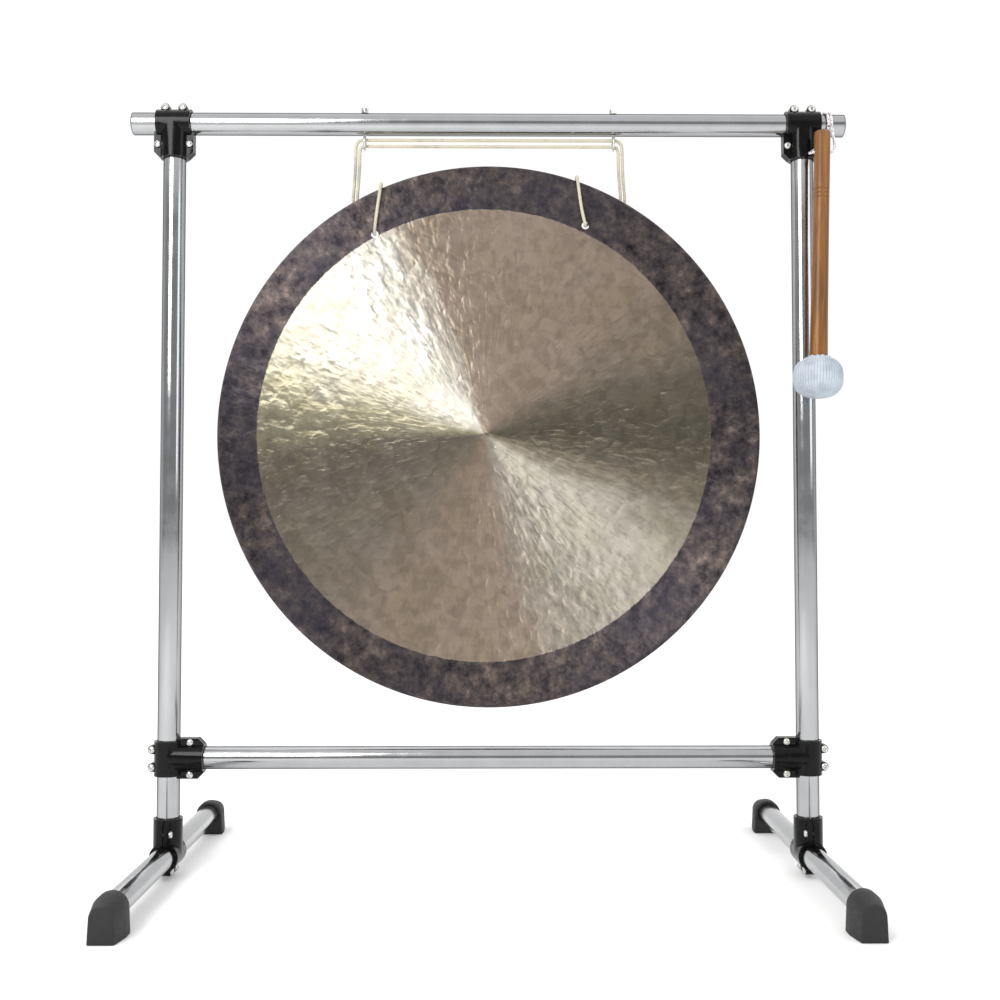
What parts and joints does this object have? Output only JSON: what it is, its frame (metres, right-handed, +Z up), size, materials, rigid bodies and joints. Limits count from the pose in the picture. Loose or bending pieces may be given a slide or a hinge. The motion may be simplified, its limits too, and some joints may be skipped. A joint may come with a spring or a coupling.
{
  "type": "tam tam gong on stand",
  "caption": "Large bronze tam tam with a dark rim, hung by a cord in a chromed tube stand, with a cloth-headed mallet.",
  "frame": {"origin": "on the floor, under the middle of the stand", "axes": "+Z up, +X along the top bar towards the mallet, -Y towards the player's side of the gong"},
  "size_m": [1.0398, 0.6006, 1.1117],
  "materials": {
    "chrome": "polished chromed tube",
    "steel_bolt": "bright zinc-plated steel",
    "clamp_black": "glossy black moulding",
    "foot_rubber": "matt black rubber",
    "gong_bronze": "hammered and lathed bronze with a dark scaled rim",
    "sling_cord": "twisted off-white cord",
    "mallet_wood": "turned and oiled hardwood",
    "mallet_core": "dense rubber",
    "mallet_cloth": "white woven cotton cover",
    "braided_string": "white braided string with dark flecks"
  },
  "bodies": {
    "stand": {"left_bar_cap": "chrome", "left_crossbar_clamp_bolt_1": "steel_bolt", "left_crossbar_clamp_bolt_2": "steel_bolt", "left_crossbar_clamp_bolt_3": "steel_bolt", "left_crossbar_clamp_bolt_4": "steel_bolt", "left_crossbar_clamp_front": "clamp_black", "left_crossbar_clamp_rear": "clamp_black", "left_eye_bolt": "steel_bolt", "left_eye_nut": "steel_bolt", "left_front_foot": "foot_rubber", "left_leg": "chrome", "left_leg_clamp_bolt_1": "steel_bolt", "left_leg_clamp_bolt_2": "steel_bolt", "left_leg_clamp_bolt_3": "steel_bolt", "left_leg_clamp_bolt_4": "steel_bolt", "left_leg_clamp_front": "clamp_black", "left_leg_clamp_rear": "clamp_black", "left_rear_foot": "foot_rubber", "left_top_clamp_bolt_1": "steel_bolt", "left_top_clamp_bolt_2": "steel_bolt", "left_top_clamp_bolt_3": "steel_bolt", "left_top_clamp_bolt_4": "steel_bolt", "left_top_clamp_front": "clamp_black", "left_top_clamp_rear": "clamp_black", "left_upright": "chrome", "lower_crossbar": "chrome", "right_bar_cap": "chrome", "right_crossbar_clamp_bolt_1": "steel_bolt", "right_crossbar_clamp_bolt_2": "steel_bolt", "right_crossbar_clamp_bolt_3": "steel_bolt", "right_crossbar_clamp_bolt_4": "steel_bolt", "right_crossbar_clamp_front": "clamp_black", "right_crossbar_clamp_rear": "clamp_black", "right_eye_bolt": "steel_bolt", "right_eye_nut": "steel_bolt", "right_front_foot": "foot_rubber", "right_leg": "chrome", "right_leg_clamp_bolt_1": "steel_bolt", "right_leg_clamp_bolt_2": "steel_bolt", "right_leg_clamp_bolt_3": "steel_bolt", "right_leg_clamp_bolt_4": "steel_bolt", "right_leg_clamp_front": "clamp_black", "right_leg_clamp_rear": "clamp_black", "right_rear_foot": "foot_rubber", "right_top_clamp_bolt_1": "steel_bolt", "right_top_clamp_bolt_2": "steel_bolt", "right_top_clamp_bolt_3": "steel_bolt", "right_top_clamp_bolt_4": "steel_bolt", "right_top_clamp_front": "clamp_black", "right_top_clamp_rear": "clamp_black", "right_upright": "chrome", "top_bar": "chrome"},
    "gong_and_sling": {"gong": "gong_bronze", "sling_cord": "sling_cord"},
    "mallet": {"mallet_handle": "mallet_wood", "mallet_core": "mallet_core", "mallet_cover": "mallet_cloth", "mallet_string": "braided_string"}
  },
  "joints": [
    {"name": "gong_swing", "type": "hinge", "parent": "stand", "child": "gong_and_sling", "pos_m": [0, 0, 1.0563], "axis": [1, 0, 0], "range_deg": [-20, 20]},
    {"name": "mallet_swing", "type": "hinge", "parent": "stand", "child": "mallet", "pos_m": [0.4775, 0, 1.084], "axis": [-1, 0, 0], "range_deg": [0, 60]}
  ]
}
